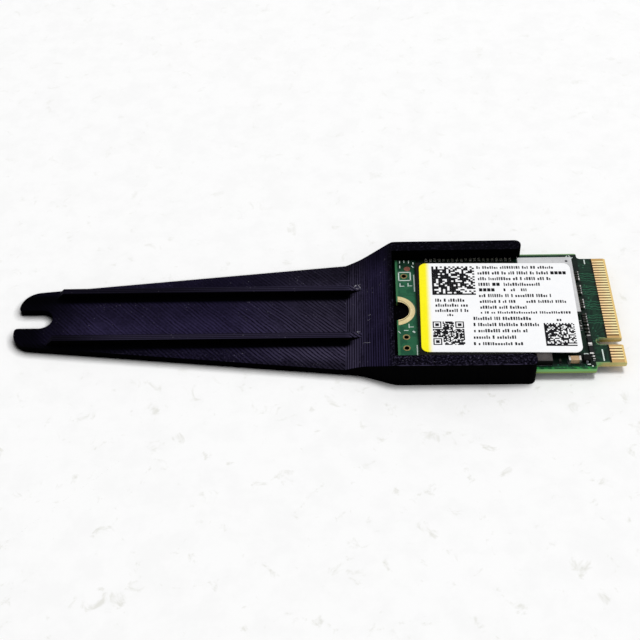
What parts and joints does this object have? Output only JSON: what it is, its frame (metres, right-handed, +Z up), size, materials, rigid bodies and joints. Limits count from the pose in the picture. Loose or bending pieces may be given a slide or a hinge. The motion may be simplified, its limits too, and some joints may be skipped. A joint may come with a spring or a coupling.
{
  "type": "m.2 solid-state drive in an extension bracket",
  "caption": "Short M.2 solid-state drive card with a keyed contact edge, lidded controller and label, held in a black printed bracket whose ribbed tail reaches a longer screw position.",
  "frame": {"origin": "middle of the bracket's flat underside, below the middle of the whole length", "axes": "+X along the card from the screw slot to the contact edge, +Y across the card away from the key notch, +Z up out of the label"},
  "size_m": [0.0834, 0.0238, 0.0039],
  "materials": {
    "bracket_plastic": "satin black print",
    "solder_mask": "dark green lacquer",
    "gold": "pale gold plating",
    "copper": "bare copper",
    "mould_compound": "matt black",
    "substrate": "dark green laminate",
    "silicon": "polished grey",
    "lid_metal": "satin nickel",
    "solder": "bright tin",
    "ferrite": "grey moulded powder",
    "capacitor_ceramic": "tan",
    "fuse_coat": "black glaze",
    "crystal_ceramic": "brown",
    "label_film": "white satin film"
  },
  "bodies": {
    "root": {"extension_bracket": "bracket_plastic", "circuit_board": "solder_mask", "top_contacts": "gold", "bottom_contacts": "gold", "mounting_pad": "gold", "header_barrels": "gold", "test_pad": "copper", "flash_package": "mould_compound", "flash_solder_balls": "solder", "controller_substrate": "substrate", "controller_die": "silicon", "controller_lid": "lid_metal", "controller_solder_balls": "solder", "power_regulator": "mould_compound", "inductors": "ferrite", "inductor_feet": "solder", "clock_crystal_base": "crystal_ceramic", "clock_crystal_lid": "lid_metal", "transistor_body": "mould_compound", "transistor_leads": "solder", "bulk_capacitors": "capacitor_ceramic", "bulk_capacitor_terminals": "solder", "chip_fuses": "fuse_coat", "chip_fuse_terminals": "solder", "coupling_capacitors": "capacitor_ceramic", "coupling_capacitor_terminals": "solder", "filter_capacitors": "capacitor_ceramic", "filter_capacitor_terminals": "solder", "edge_capacitors": "capacitor_ceramic", "edge_capacitor_terminals": "solder", "label": "label_film"}
  },
  "joints": []
}
